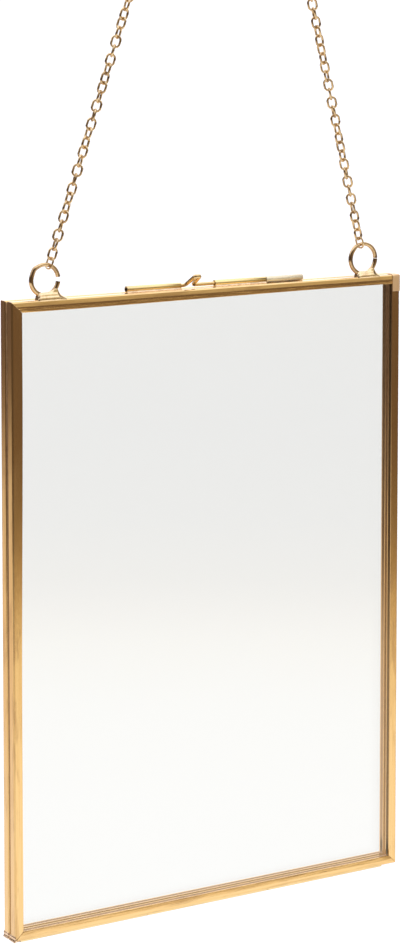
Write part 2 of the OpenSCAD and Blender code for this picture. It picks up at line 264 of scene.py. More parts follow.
rougher = maths(brass, "MULTIPLY_ADD", streaks, STREAKS_ROUGHER, rougher)
height = maths(brass, "MULTIPLY_ADD", blotch, TARNISH_RELIEF, fine)
for label, value in (("Colour", stained), ("Roughness", rougher), ("Height", height)):
    brass.links.new(value, result[label])
print("worked_brass has", len(brass.nodes), "nodes")

# %% [markdown]
# A material is the group, a bump node and a Principled shader. The stretch says how many
# streaks fit in a metre along each axis: few along the metal, many across it. Where the
# streaks are long, the tarnish is drawn out along them too.

# %% A brass material
LONG_STREAKS, DRAWN_OUT = 9, 0.15
FINE_RELIEF = 0.01 * mm


def brass_material(name, stretch, colours, amounts, spots, roughness, relief=FINE_RELIEF, metallic=1):
    """A brass from three colours (plain, streak, tarnish) and the amounts of the last two.

    Spots says how many spots of tarnish fit in a metre, and relief how deep the bump is.
    """
    made, tree, shader = new_material(name)
    place = add(tree, "ShaderNodeTexCoord").outputs["Object"]
    grain = add(tree, "ShaderNodeMapping", {0: place, "Scale": stretch}).outputs[0]
    drawn = [DRAWN_OUT if share < max(stretch) / LONG_STREAKS else 1 for share in stretch]
    stain = add(tree, "ShaderNodeMapping", {0: place, "Scale": drawn}).outputs[0]
    plain, streak, tarnish = [(*colour, 1) for colour in colours]
    values = {"Place": stain, "Grain": grain, "Brass": plain, "Streak": streak, "Tarnish": tarnish,
              "Streak amount": amounts[0], "Tarnish amount": amounts[1], "Tarnish scale": spots,
              "Roughness": roughness}
    worked = add(tree, "ShaderNodeGroup", values, node_tree=brass).outputs
    bump = add(tree, "ShaderNodeBump", {"Height": worked["Height"], "Strength": 1, "Distance": relief})
    feed(tree, shader, {"Base Color": worked["Colour"], "Roughness": worked["Roughness"],
                        "Normal": bump.outputs[0], "Metallic": metallic})
    return made

# %% [markdown]
# The finishes differ in small ways. The channels are polished along their length, the keeper
# and the cap are duller, the solder is rough, and the eyelets and the chain are darker, with
# sooty stains. The bores of the tubes are nearly black: a painted shade for the dark inside
# a narrow tube.

# %% Brass finishes
GOLD, WORN, BROWN = (0.94, 0.665, 0.32), (0.84, 0.53, 0.21), (0.42, 0.22, 0.10)
UMBER, SOOT = (0.5, 0.3, 0.16), (0.25, 0.14, 0.07)
upright_brass = brass_material("upright_channel_brass", (2600, 2600, 45), (GOLD, WORN, BROWN),
                               amounts=(0.6, 0.3), spots=420, roughness=0.08)
level_brass = brass_material("level_channel_brass", (45, 2600, 2600), (GOLD, WORN, BROWN),
                             amounts=(0.6, 0.3), spots=420, roughness=0.08)
pale_solder = brass_material("pale_solder", (900, 900, 900),
                             ((0.95, 0.73, 0.5), (0.88, 0.62, 0.4), (0.6, 0.38, 0.2)),
                             amounts=(0.5, 0.4), spots=500, roughness=0.2, relief=0.03 * mm)
foot_solder = brass_material("foot_solder", (900, 900, 900),
                             ((0.96, 0.75, 0.46), (0.9, 0.66, 0.36), (0.6, 0.38, 0.2)),
                             amounts=(0.4, 0.25), spots=500, roughness=0.16, relief=0.02 * mm)
cap_brass = brass_material("cap_brass", (1500, 1500, 60),
                           ((0.95, 0.66, 0.38), (0.86, 0.55, 0.3), (0.6, 0.38, 0.2)),
                           amounts=(0.5, 0.3), spots=400, roughness=0.3, metallic=0.72)
eyelet_brass = brass_material("eyelet_brass", (1500, 1500, 1500),
                              ((0.76, 0.55, 0.31), (0.62, 0.41, 0.2), SOOT),
                              amounts=(0.5, 0.5), spots=350, roughness=0.1)
# The keeper's near-white colour, on a partly diffuse metal, is a painted highlight for the glare that
# whitens it.
keeper_brass = brass_material("keeper_brass", (60, 2500, 2500),
                              ((1.0, 0.92, 0.68), (0.97, 0.8, 0.5), (0.65, 0.45, 0.3)),
                              amounts=(0.5, 0.25), spots=260, roughness=0.25, metallic=0.4)
tube_brass = brass_material("tube_brass", (60, 2500, 2500),
                            ((0.95, 0.75, 0.38), (0.88, 0.62, 0.24), UMBER),
                            amounts=(0.5, 0.4), spots=260, roughness=0.12)
wire_brass = brass_material("wire_brass", (150, 2200, 2200),
                            ((0.86, 0.64, 0.32), (0.74, 0.48, 0.19), UMBER),
                            amounts=(0.4, 0.4), spots=300, roughness=0.12)
chain_brass = brass_material("chain_brass", (1200, 1200, 1200),
                             ((0.8, 0.6, 0.34), (0.6, 0.4, 0.2), SOOT),
                             amounts=(0.5, 0.5), spots=300, roughness=0.06)
# Painted shade: the bores are nearly black, standing in for the shade inside a narrow tube.
painted_bore_shade = brass_material("painted_bore_shade", (400, 400, 400),
                            ((0.07, 0.045, 0.03), (0.06, 0.04, 0.025), (0.04, 0.03, 0.02)),
                            amounts=(0.5, 0.5), spots=300, roughness=0.6, metallic=0.2)
print("materials so far:", len(bpy.data.materials))

# %% [markdown]
# Inside the channels the metal is dull. Light reaches it only through the edges of the panes,
# so a faint glow stands in for what the glass passes: painted light, a pinkish painted
# reflection at the foot that fades to painted shade, nearly black, at the top. Inside the front
# leaf's upright bars it is half as bright, a painted shade for how their lips shade it.

# %% Inner brass
def glowing_brass(name, plain, stops):
    """Dull brass with a glow of painted light and shade that changes from the foot of the frame (0) to
    its head (1).
    """
    colours = [[share * c for c in plain] for share in (1, 0.85, 0.6)]
    made = brass_material(name, (400, 400, 400), colours, amounts=(0.5, 0.5), spots=300,
                          roughness=0.5, metallic=0.3)
    tree = made.node_tree
    place = add(tree, "ShaderNodeTexCoord").outputs["Object"]
    height = add(tree, "ShaderNodeSeparateXYZ", {0: place}).outputs["Z"]
    height = share_of(tree, height, leaf_low.z, leaf_high.z, smooth=False)
    glow = {"Emission Color": ramp(tree, height, stops), "Emission Strength": 1}
    feed(tree, tree.nodes["Principled BSDF"], glow)
    return made


# Painted light inside the channels, from foot to head: a pinkish painted reflection, a dusky band, brown,
# then painted shade.
PINKISH, DUSKY, BROWNISH = (0.5, 0.34, 0.22), (0.12, 0.09, 0.05), (0.38, 0.25, 0.14)
INSIDE_GLOW = [(0, PINKISH), (0.013, PINKISH), (0.016, DUSKY), (0.03, DUSKY), (0.045, BROWNISH),
          (0.35, (0.36, 0.23, 0.12)), (0.55, (0.1, 0.06, 0.03)), (1, (0.02, 0.011, 0.004))]
# Painted light on the faces towards the other leaf: brightest at the foot, fading to painted shade
# towards the head.
GAP_GLOW = [(0, (0.26, 0.16, 0.06)), (0.45, (0.12, 0.065, 0.022)), (0.65, (0.04, 0.02, 0.008)),
       (1, (0.02, 0.01, 0.004))]
# Painted shade: the front leaf's upright bars take a darker copy of the inner colour and glow.
IN_SHADE = (0.5, 0.48, 0.42)
shaded = [(at, tuple(a * b for a, b in zip(colour, IN_SHADE))) for at, colour in INSIDE_GLOW]
inner_brass = glowing_brass("inner_brass", (0.5, 0.32, 0.18), INSIDE_GLOW)
shaded_brass = glowing_brass("shaded_inner_brass", (0.25, 0.155, 0.07), shaded)
gap_brass = glowing_brass("gap_brass", (0.45, 0.3, 0.17), GAP_GLOW)
print("materials so far:", len(bpy.data.materials))

# %% [markdown]
# The panes are plain clear glass. The CAD's own plates have the right shape, so only their
# material is changed. They look faintly grey, from their own tint and from what they mirror.

# %% Glass
clear_glass, tree, shader = new_material("clear_glass")
feed(tree, shader, {"Base Color": (0.98, 0.985, 0.98, 1), "Roughness": 0, "IOR": 1.5,
                    "Transmission Weight": 1})
for pane in ("front_glass", "rear_glass"):
    nodes[pane].data.materials.clear()
    nodes[pane].data.materials.append(clear_glass)
    print(pane, "is", clear_glass.name)

# %% [markdown]
# The pieces are shaped with a handful of helpers. A mesh is finished in one place, where it
# gets its name, its metal, the body that it rides on and the plain CAD nodes it stands for.


def finish_piece(bm, name, body, metal, stands_for=(), sharp_angle=40, inside=(), flat=False):
    """Turns a bmesh into a smooth piece, with its hard edges kept, on a CAD body.

    Inside holds its second and third metals. A flat piece keeps its broad faces flat and takes
    its rounding up in the narrow ones.
    """
    bmesh.ops.recalc_face_normals(bm, faces=bm.faces)
    mesh = bpy.data.meshes.new(name)
    bm.to_mesh(mesh)
    bm.free()
    mesh.shade_smooth()
    mesh.set_sharp_from_angle(angle=math.radians(sharp_angle))
    for surface in (metal, *inside):
        mesh.materials.append(surface)
    obj = bpy.data.objects.new(name, mesh)
    bpy.context.scene.collection.objects.link(obj)
    if flat:
        weigh = obj.modifiers.new("broad faces", "WEIGHTED_NORMAL")
        weigh.weight = 100
        weigh.keep_sharp = True
        seen = obj.evaluated_get(bpy.context.evaluated_depsgraph_get())
        obj.data = bpy.data.meshes.new_from_object(seen)
        obj.data.name = name
        obj.modifiers.clear()
        bpy.data.meshes.remove(mesh)
    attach(obj, body)
    if stands_for:
        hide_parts(*stands_for)
    print(name, len(obj.data.polygons), "faces")
    return obj

# %% Helpers that shape a mesh
def points_of(made):
    """The points among what an operator made."""
    return [g for g in made if isinstance(g, bmesh.types.BMVert)]


def round_edges(bm, edges, offset, segments, held_back=False):
    """Bevels some edges, and with held_back keeps the bevels from running into each other."""
    bmesh.ops.bevel(bm, geom=edges, affect="EDGES", offset=offset, segments=segments, profile=0.5,
                    material=-1, clamp_overlap=held_back)

# %% [markdown]
# A channel starts as its folded outline, seen end on: lip, corner, corner, lip. The strip is
# pulled out to length, its folds are rounded, and it is given its thickness. Rolling leaves
# the face in two slightly tilted bands, and these are what catch the light as a pale and a
# dark stripe, so each face gets a crease. A bar with a slot cut into it would have the same
# outside, but a strip gets its even wall and its round folds in one go. The mitres are cut
# last, with a plane.

# %% A folded strip
BAR = 2.7 * mm
WALL = 0.45 * mm
FOLD = 0.5 * mm
CROWN = 0.12 * mm
LIP_DROP = 0.056 * mm
CREASE_SHARE = 0.52
CREASE_ROUND, LIP_ROUND = 0.15 * mm, 0.05 * mm
SAME_PLACE = WALL / 9


def folded_strip(bm, length, depth):
    """A length of channel along X, with square ends: its back at Z 0, its mouth towards +Z."""
    crease = CREASE_SHARE * BAR
    front = [(LIP_DROP, BAR), (0, crease), (CROWN, 0)]
    outline = front + [(depth - y, z) for y, z in reversed(front)]
    corners = [bm.verts.new((0, y, z)) for y, z in outline]
    edges = [bm.edges.new(pair) for pair in zip(corners, corners[1:])]
    grown = bmesh.ops.extrude_edge_only(bm, edges=edges)["geom"]
    bmesh.ops.translate(bm, vec=(length, 0, 0), verts=points_of(grown))
    bmesh.ops.recalc_face_normals(bm, faces=bm.faces)
    if max(bm.faces, key=lambda f: f.calc_center_median().y).normal.y < 0:
        bmesh.ops.reverse_faces(bm, faces=bm.faces)
    for level, offset, segments in ((0, FOLD, 5), (crease, CREASE_ROUND, 3)):
        bends = [e for e in bm.edges if len(e.link_faces) == 2
                 and all(abs(v.co.z - level) < SAME_PLACE for v in e.verts)]
        round_edges(bm, bends, offset, segments)
    bmesh.ops.solidify(bm, geom=bm.faces[:], thickness=WALL)
    lips = [e for e in bm.edges if all(v.co.z > BAR - SAME_PLACE for v in e.verts)
            and abs(e.verts[0].co.x - e.verts[1].co.x) > length / 2]
    round_edges(bm, lips, LIP_ROUND, 2)

# %% A mitred channel
MITRE_GAP, MITRE_ROUND = 0.05 * mm, 0.04 * mm
STEPS = 40
WITHIN = WALL * 0.9
# How much of a face's normal has to point one way, for it to look mostly or fully that way.
MOSTLY, FULLY = 0.5, 0.9


def cut(bm, place, facing, clear=False):
    """Cuts a mesh along a plane, and with clear takes away what is beyond it."""
    everything = bm.verts[:] + bm.edges[:] + bm.faces[:]
    return bmesh.ops.bisect_plane(bm, geom=everything, dist=WALL / 1000, plane_co=place,
                                  plane_no=facing, clear_outer=clear)["geom_cut"]


def channel(length, depth, facing):
    """A length of mitred channel along X, in steps that can be bent.

    Its inner faces, and the face towards the other leaf (facing is 1 or -1), are duller.
    """
    bm = bmesh.new()
    folded_strip(bm, length, depth)
    for end, lean in ((MITRE_GAP, -1), (length - MITRE_GAP, 1)):
        made = cut(bm, (end, 0, 0), (lean, 0, 1), clear=True)
        rim = [g for g in made if isinstance(g, bmesh.types.BMEdge)]
        bmesh.ops.holes_fill(bm, edges=rim)
        round_edges(bm, [e for e in rim if e.is_valid], MITRE_ROUND, 1, held_back=True)
    for step in range(1, STEPS):
        cut(bm, (BAR + (length - 2 * BAR) * step / STEPS, 0, 0), (1, 0, 0))
    # Inner faces and faces towards the other leaf take the materials with painted glow and painted shade.
    for face in bm.faces:
        middle = face.calc_center_median()
        hidden = middle.z > WITHIN and WITHIN < middle.y < depth - WITHIN
        hidden = hidden and abs(face.normal.x) < MOSTLY and face.normal.z < FULLY
        meeting = (middle.y - depth / 2) * facing > depth / 2 - LIP_DROP * 4
        meeting = meeting and face.normal.y * facing > FULLY
        face.material_index = 2 if meeting else 1 if hidden else 0
    return bm

# %% [markdown]
# The front leaf was folded by hand, and its lips aren't quite parallel to its edges: the
# left bar is up to 0.7 mm wider at its head, and the top bar up to 0.4 mm at its left end.
# These two bars could start from wider strips, but then their mitres would no longer meet
# their neighbours. So one smooth push, which fades along each bar, moves all four alike.

# %% Hand-folded widths
LEFT_WIDER, TOP_WIDER = 0.72 * mm, 0.42 * mm
LEFT_FADES, TOP_FADES, ACROSS_FADES = (20 * mm, 120 * mm), (10 * mm, 110 * mm), (4 * mm, 30 * mm)


def clamp(value):
    """A value held between 0 and 1."""
    return min(max(value, 0), 1)


def faded(distance, near, far):
    """1 up to a near distance, and down to 0 at a far one."""
    share = clamp((distance - near) / (far - near))
    return 1 - share * share * (3 - 2 * share)


def hand_width(point, low, high):
    """How far a point of the front leaf is from where a perfect fold would have it."""
    right, down = point.x - low.x, high.z - point.z
    push = LEFT_WIDER * clamp(right / BAR) * faded(down, *LEFT_FADES) * faded(right, *ACROSS_FADES)
    drop = TOP_WIDER * clamp(down / BAR) * faded(right, *TOP_FADES) * faded(down, *ACROSS_FADES)
    return Vector((push, 0, -drop))

# %% Eight channels
QUARTER = math.pi / 2
LEAVES = {"front": "front_leaf", "rear": "rear_leaf"}
METALS = {"left": upright_brass, "right": upright_brass, "top": level_brass, "bottom": level_brass}
for leaf, body in LEAVES.items():
    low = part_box(f"{leaf}_left_channel")[0]
    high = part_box(f"{leaf}_right_channel")[1]
    places = {
        "left": ((low.x, low.y, high.z), QUARTER, high.z - low.z),
        "right": ((high.x, low.y, low.z), -QUARTER, high.z - low.z),
        "top": ((high.x, low.y, high.z), 2 * QUARTER, high.x - low.x),
        "bottom": ((low.x, low.y, low.z), 0, high.x - low.x),
    }
    for side, (place, turn, length) in places.items():
        bm = channel(length, high.y - low.y, 1 if leaf == "front" else -1)
        seat = Matrix.Translation(place) @ Matrix.Rotation(turn, 4, "Y")
        bmesh.ops.transform(bm, matrix=seat, verts=bm.verts)
        if leaf == "front":
            for vert in bm.verts:
                vert.co += hand_width(vert.co, low, high)
        # The front leaf's upright bars take the copy with painted shade.
        within = shaded_brass if leaf == "front" and side in ("left", "right") else inner_brass
        finish_piece(bm, f"{leaf}_{side}_bar", body, METALS[side], [f"{leaf}_{side}_channel"],
                     inside=(within, gap_brass), flat=True)

# %% [markdown]
# Wire is bent as a jeweller bends it: straight for a way, then round a peg, then straight
# again. A disc is pushed along to make a straight run, and spun about the peg to make a
# bend, so the wire stays round through every turn. A curve with a bevel would do it too, but
# its bends would have to be placed by hand.

# %% Wire
WIRE_SIDES = 16


def last_face(made):
    """The face among what an operator made."""
    return next(g for g in made if isinstance(g, bmesh.types.BMFace))


def start_wire(bm, place, heading, thickness):
    """The first disc of a wire, at a place and facing the way that the wire will go."""
    turn = Vector((0, 0, 1)).rotation_difference(heading).to_matrix().to_4x4()
    made = bmesh.ops.create_circle(bm, cap_ends=True, radius=thickness / 2, segments=WIRE_SIDES,
                                   matrix=Matrix.Translation(place) @ turn)
    disc = made["verts"][0].link_faces[0]
    return {"disc": disc, "place": Vector(place), "heading": heading.normalized()}


def run_straight(bm, wire, length):
    """Pushes the wire's end on along its heading."""
    grown = bmesh.ops.extrude_face_region(bm, geom=[wire["disc"]])["geom"]
    step = wire["heading"] * length
    bmesh.ops.translate(bm, vec=step, verts=points_of(grown))
    wire["disc"] = last_face(grown)
    wire["place"] = wire["place"] + step


def run_bend(bm, wire, axis, angle, radius, steps=10):
    """Spins the wire's end round a peg that stands along axis, by an angle, at a radius."""
    axis = axis.normalized()
    inward = axis.cross(wire["heading"]) * (1 if angle > 0 else -1)
    peg = wire["place"] + inward * radius
    grown = bmesh.ops.spin(bm, geom=[wire["disc"]], cent=peg, axis=axis, angle=angle, steps=steps)
    wire["disc"] = last_face(grown["geom_last"])
    turn = Matrix.Rotation(angle, 3, axis)
    wire["place"] = peg + turn @ (wire["place"] - peg)
    wire["heading"] = turn @ wire["heading"]

# %% [markdown]
# The bolt is one wire. It lies in its tubes at both ends, and between them it comes forward
# and up as a narrow loop, which is the handle. The loop was hammered a little, and is fatter.
# It could be thicker wire joined on, but a push outwards leaves no seam. The wire is held in
# the CAD's box, because it mustn't grow out of its tubes.

# %% Lines of the bolt
BOLT_WIRE = 1.05 * mm
FOOT_SPREAD, TIP_SPREAD = 2.7 * mm, 1.4 * mm
TAIL = 12 * mm
HANDLE, HANDLE_SLOPE = 5.6 * mm, math.radians(32)
TIP_BEND, FOOT_BEND = 0.6 * mm, 0.7 * mm
HAMMERED, HAMMERED_FROM = 0.13 * mm, 0.8 * mm
TUBE_OUTER, TUBE_BORE = 1.8 * mm, 1.17 * mm
bolt_low, bolt_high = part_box("slide_bolt")
gap_middle = (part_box("front_top_channel")[1].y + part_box("rear_top_channel")[0].y) / 2
bolt_line = Vector((0, gap_middle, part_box("left_guide_tube")[1].z - TUBE_OUTER / 2))
out_along = Vector((0, -math.cos(HANDLE_SLOPE), math.sin(HANDLE_SLOPE)))
flat = Vector((1, 0, 0)).cross(out_along)
leg_run = (FOOT_SPREAD - TIP_SPREAD) / 2
turn = QUARTER - math.atan2(leg_run, HANDLE)
foot_share = FOOT_BEND * math.tan(turn / 2)
tip_share = TIP_BEND * math.tan(turn / 2)
leg = math.hypot(leg_run, HANDLE) - foot_share - tip_share
print("straight part of the handle's leg, mm:", round(leg / mm, 2))

# %% Bolt
def keep_inside(verts, low, high):
    """Holds points within a box."""
    for vert in verts:
        vert.co = [min(max(c, a), b) for c, a, b in zip(vert.co, low, high)]


bm = bmesh.new()
wire = start_wire(bm, (bolt_low.x, bolt_line.y, bolt_line.z), Vector((1, 0, 0)), BOLT_WIRE)
run_straight(bm, wire, TAIL - foot_share)
run_bend(bm, wire, flat, turn, FOOT_BEND)
run_straight(bm, wire, leg)
run_bend(bm, wire, flat, -turn, TIP_BEND)
run_straight(bm, wire, TIP_SPREAD - 2 * tip_share)
run_bend(bm, wire, flat, -turn, TIP_BEND)
run_straight(bm, wire, leg)
run_bend(bm, wire, flat, turn, FOOT_BEND)
run_straight(bm, wire, bolt_high.x - wire["place"].x)
bm.normal_update()
for vert in bm.verts:
    forward = bolt_line.y - vert.co.y
    vert.co += vert.normal * HAMMERED * clamp((forward - HAMMERED_FROM) / HAMMERED_FROM)
keep_inside(bm.verts, bolt_low, bolt_high)
print("bolt ends at", in_mm([wire["place"]])[0], "mm")
finish_piece(bm, "bent_wire_bolt", "bolt", wire_brass, ["slide_bolt"], sharp_angle=50)

# %% [markdown]
# The bolt's tubes and the hinge's knuckles are short lengths of thin tube. A ring of edges
# is drawn out to length, given its wall, and its rims are rounded. A hole cut through a rod
# would look the same, but a wall needs no cutting. Each tube is held by a bank of solder on
# one leaf only, drawn out from its outline seen end on.

# %% A tube
TUBE_SIDES, RIM_ROUND = 28, 0.07 * mm


def rims_of(bm):
    """The edges where the surface turns by more than a radian."""
    return [e for e in bm.edges if e.calc_face_angle(0) > 1]


def drawn_tube(bm, start, length, outer, bore):
    """A tube along X from its start, open at both ends. Its bore gets the second material."""
    seat = Matrix.Translation(start) @ Matrix.Rotation(QUARTER, 4, "Y")
    made = bmesh.ops.create_circle(bm, radius=outer / 2, segments=TUBE_SIDES, matrix=seat)
    edges = list({e for v in made["verts"] for e in v.link_edges})
    grown = bmesh.ops.extrude_edge_only(bm, edges=edges)["geom"]
    bmesh.ops.translate(bm, vec=(length, 0, 0), verts=points_of(grown))
    bmesh.ops.recalc_face_normals(bm, faces=bm.faces)
    outward = bm.faces[0].calc_center_median() - Vector(start)
    outward.x = 0
    if bm.faces[0].normal.dot(outward) < 0:
        bmesh.ops.reverse_faces(bm, faces=bm.faces)
    bmesh.ops.solidify(bm, geom=bm.faces[:], thickness=(outer - bore) / 2)
    round_edges(bm, rims_of(bm), RIM_ROUND, 2)
    for face in bm.faces:
        away = face.calc_center_median() - Vector(start)
        away.x = 0
        inner = away.length < (outer + bore) / 4 and abs(face.normal.x) < MOSTLY
        face.material_index = 1 if inner else 0

# %% A bank of solder
TUBE_BANK = [(0.5, 1.01), (1.25, 1.01), (1.08, 0.93), (0.96, 0.76), (0.9, 0.5), (0.72, 0.5),
             (0.5, 0.8)]
KNUCKLE_BANK = [(0.2, 1.01), (1.25, 1.01), (1.08, 0.93), (0.96, 0.76), (0.8, 0.4), (0.6, 0.2),
                (0.45, 0.45)]
BANK_CUTS = 24
RIPPLE_LENGTH, RIPPLE_OUT, RIPPLE_IN = 1.1 * mm, 0.09 * mm, 0.06 * mm


def solder_bank(bm, start, length, outline, reach, across, up, seed):
    """The bank beside a tube: across is -1 for the front leaf, up is -1 where the leaf is below.

    Its outline is in shares of the reach, which is how far the bar is from the tube's line.
    """
    places = [Vector(start) + Vector((0, across * y, up * z)) * reach for y, z in outline]
    end = bm.faces.new([bm.verts.new(place) for place in places])
    grown = bmesh.ops.extrude_face_region(bm, geom=[end])["geom"]
    bmesh.ops.translate(bm, vec=(length, 0, 0), verts=points_of(grown))
    long = [e for e in bm.edges if abs(e.verts[0].co.x - e.verts[1].co.x) > length / 2]
    bmesh.ops.subdivide_edges(bm, edges=long, cuts=BANK_CUTS, use_grid_fill=True)
    for vert in bm.verts:
        push = noise.noise(Vector((vert.co.x / RIPPLE_LENGTH, seed, 0))) * RIPPLE_OUT
        vert.co.y += across * max(push, -RIPPLE_IN)

# %% A soldered tube
def soldered_tube(label, node, body, metal, start, length, tube, bank):
    """A tube that stands for a node, and the solder beside it.

    Tube is its outer and inner width, and bank is the outline, reach, across, up and seed.
    """
    bm = bmesh.new()
    drawn_tube(bm, start, length, *tube)
    finish_piece(bm, f"drawn_{label}", body, metal, [node], inside=(painted_bore_shade,))
    bm = bmesh.new()
    solder_bank(bm, start, length, *bank)
    solder = finish_piece(bm, f"{label}_solder", body, pale_solder)

# %% Three tubes for the bolt
TUBES = [("left_guide_tube", "front_leaf", -1, tube_brass),
         ("right_guide_tube", "front_leaf", -1, tube_brass),
         ("keeper_tube", "rear_leaf", 1, keeper_brass)]
for seed, (node, body, across, metal) in enumerate(TUBES):
    low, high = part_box(node)
    soldered_tube(node, node, body, metal, (low.x, bolt_line.y, bolt_line.z), high.x - low.x,
                  (TUBE_OUTER, TUBE_BORE), (TUBE_BANK, TUBE_OUTER / 2, across, -1, seed))

# %% [markdown]
# The hinge is under the bottom bars, out of sight: two knuckles on the front leaf, one on
# the rear leaf between them, and a plain wire through all three. The knuckles are tubes like
# the bolt's, thin enough that they don't show below the frame.

# %% Hinge
KNUCKLE_OUTER, KNUCKLE_BORE = 1.15 * mm, 0.9 * mm
KNUCKLE_DROP, KNUCKLE_GAP = 0.95 * mm, 0.2 * mm
HINGE_PIN, PIN_ROUND = 0.85 * mm, 0.15 * mm
front_low, front_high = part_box("front_hinge_knuckles")
rear_low, rear_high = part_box("rear_hinge_knuckle")
pin_low, pin_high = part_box("hinge_pin")
hinge_z = (pin_low.z + pin_high.z) / 2
KNUCKLES = [("front_hinge_knuckles", "front_leaf", -1, front_low.x, rear_low.x - KNUCKLE_GAP),
            ("front_hinge_knuckles", "front_leaf", -1, rear_high.x + KNUCKLE_GAP, front_high.x),
            ("rear_hinge_knuckle", "rear_leaf", 1, rear_low.x, rear_high.x)]
for seed, (node, body, across, begin, end) in enumerate(KNUCKLES):
    start = (begin, bolt_line.y, hinge_z)
    bank = (KNUCKLE_BANK, KNUCKLE_DROP, across, 1, 10 + seed)
    soldered_tube(f"{node}_{seed}", node, body, tube_brass, start, end - begin,
                  (KNUCKLE_OUTER, KNUCKLE_BORE), bank)
bm = bmesh.new()
wire = start_wire(bm, (pin_low.x, bolt_line.y, hinge_z), Vector((1, 0, 0)), HINGE_PIN)
run_straight(bm, wire, pin_high.x - pin_low.x)
round_edges(bm, rims_of(bm), PIN_ROUND, 3)
finish_piece(bm, "round_hinge_pin", "front_leaf", wire_brass, ["hinge_pin"])

# %% [markdown]
# Each eyelet is a wire ring, closed by hand, so it has flats and a slight kink where the
# pliers held it. A torus would be too even, and has no split. So the wire is spun round most
# of a circle, and then pushed about a little, but not where the chain's first link turns on
# it. There it is thinner, to clear the link.

# %% Helpers for what a hand has bent
# Noise vectors differ from run to run, unless they are given a seed.
NOISE_SEED = 1
noise.seed_set(NOISE_SEED)


def wobble(point, size, seed):
    """A smooth random push at a point."""
    return noise.noise_vector(point / size + Vector((seed, 0.37 * seed, 2.1 * seed)))


def hump(angle, width):
    """1 at angle 0, and falling off smoothly over a width."""
    return math.exp(-(angle / width) ** 2)

# %% Eyelets
RING_WIRE, RING_LOOK, RING_CLEAR = 1.2 * mm, 1.3 * mm, 1.12 * mm
RING_STEPS = 64
UNEVEN, UNEVEN_LENGTH = 0.05 * mm, 5 * mm
# Angles round a ring, in radians. Its flats are on both sides of the kink.
KINK_WIDTH, FLAT_WIDTH, FLAT_AWAY, LINK_REACH = 0.22, 0.3, 0.5, 0.6
# Each ring's split, the angle of its kink, and how far the kink stands out.
EYELETS = {
    "left_eyelet": (1.3 * mm, 2.3, 0.16 * mm),
    "right_eyelet": (0.15 * mm, 2.0, 0.07 * mm),
}
ring_places = {}
for name, (split, kink_angle, kink) in EYELETS.items():
    low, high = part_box(name)
    outer = high.z - low.z
    radius = (outer - RING_WIRE) / 2
    centre = Vector((low.x + outer / 2, (low.y + high.y) / 2, (low.z + high.z) / 2))
    ring_places[name] = (centre, radius)
    half = math.asin(split / 2 / radius)
    bm = bmesh.new()
    first = centre + Vector((math.cos(half), 0, math.sin(half))) * radius
    wire = start_wire(bm, first, Vector((-math.sin(half), 0, math.cos(half))), RING_LOOK)
    run_bend(bm, wire, Vector((0, -1, 0)), 2 * (math.pi - half), radius, RING_STEPS)
    for vert in bm.verts:
        out = vert.co - centre
        out.y = 0
        out.normalize()
        angle = math.atan2(out.z, out.x) % math.tau
        linked = math.exp(-((angle - QUARTER) / LINK_REACH) ** 4)
        spine = centre + out * radius
        thinned = 1 - (1 - RING_CLEAR / RING_LOOK) * linked
        away = angle - kink_angle
        flats = hump(away + FLAT_AWAY, FLAT_WIDTH) + hump(away - FLAT_AWAY, FLAT_WIDTH)
        bent = out * (hump(away, KINK_WIDTH) - flats * 0.5) * kink
        bent += wobble(vert.co, UNEVEN_LENGTH, len(name)) * UNEVEN
        vert.co = spine + (vert.co - spine) * thinned + bent * (1 - linked)
    finish_piece(bm, f"bent_{name}", "front_leaf", eyelet_brass, [name])

# %% [markdown]
# Solder has no edges of its own: it wets what it touches and pulls itself into fillets. So a
# few plain shapes are laid into each other, remeshed into one skin, and smoothed until they
# flow together. Metaballs would flow as well, but they keep less of a drawn outline.

# %% Melted solder
def melt(bm, grain, rounds):
    """One smooth skin round everything in a bmesh."""
    mesh = bpy.data.meshes.new("melting")
    bmesh.ops.recalc_face_normals(bm, faces=bm.faces)
    bm.to_mesh(mesh)
    bm.free()
    holder = bpy.data.objects.new("melting", mesh)
    bpy.context.scene.collection.objects.link(holder)
    remesh = holder.modifiers.new("remesh", "REMESH")
    remesh.mode = "VOXEL"
    remesh.voxel_size = grain
    skin = bmesh.new()
    skin.from_object(holder, bpy.context.evaluated_depsgraph_get())
    bpy.data.objects.remove(holder)
    bpy.data.meshes.remove(mesh)
    for _ in range(rounds):
        bmesh.ops.smooth_vert(skin, verts=skin.verts, factor=0.5, use_axis_x=True, use_axis_y=True,
                              use_axis_z=True)
    return skin


def ripple(skin, length, seed, height):
    """Pushes a skin in and out a little, as solder sets."""
    for vert in skin.verts:
        vert.co += wobble(vert.co, length, seed) * height

# %% [markdown]
# A foot of solder holds each eyelet. It was run along the bar to the right of the ring, and
# has a peak there. Three slabs of different outline and thickness are melted together.

